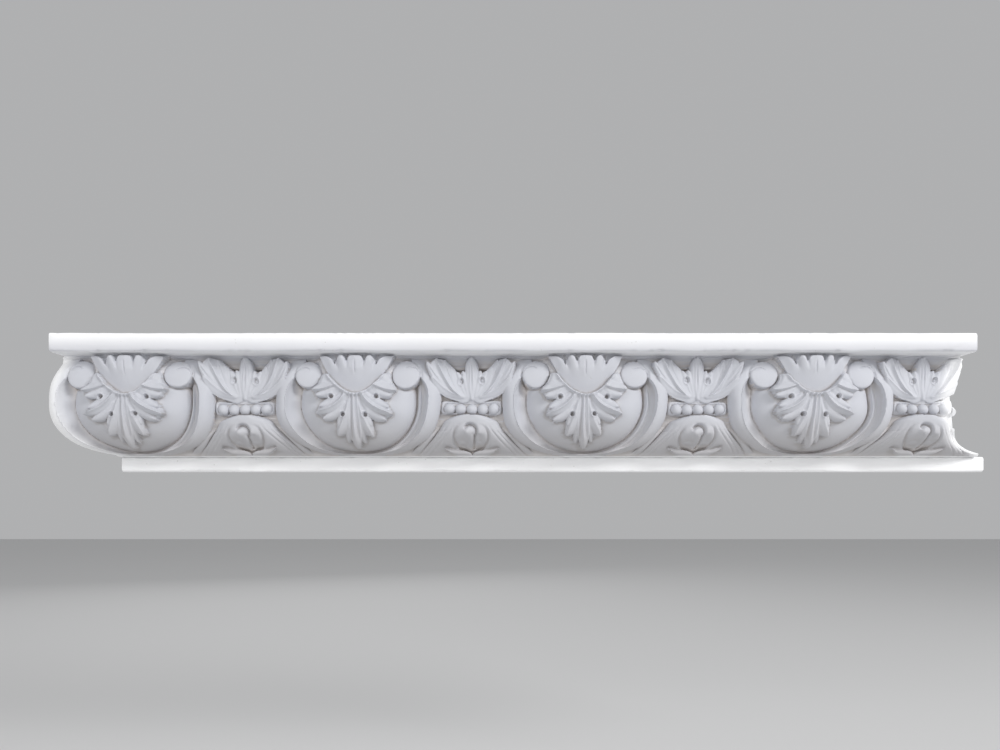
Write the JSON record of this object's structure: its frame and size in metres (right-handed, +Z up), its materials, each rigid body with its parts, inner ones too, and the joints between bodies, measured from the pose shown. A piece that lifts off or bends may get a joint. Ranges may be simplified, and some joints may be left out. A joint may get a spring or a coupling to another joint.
{
  "type": "cornice moulding section",
  "caption": "Cast plaster cornice length with a carved band of framed eggs, hanging leaves and leaf crowns between a deep top fillet and a narrow bottom fillet; ends interlock.",
  "frame": {"origin": "on the flat wall face, at the middle of the top fillet's length and at half the height", "axes": "+X along the moulding to the right as seen from the room, +Y into the wall, +Z up to the ceiling"},
  "size_m": [1.0587, 0.09, 0.1484],
  "materials": {
    "plaster": "matt white cast plaster with small air holes, warmer in the deep hollows"
  },
  "bodies": {
    "root": {"cornice_moulding": "plaster"}
  },
  "joints": []
}
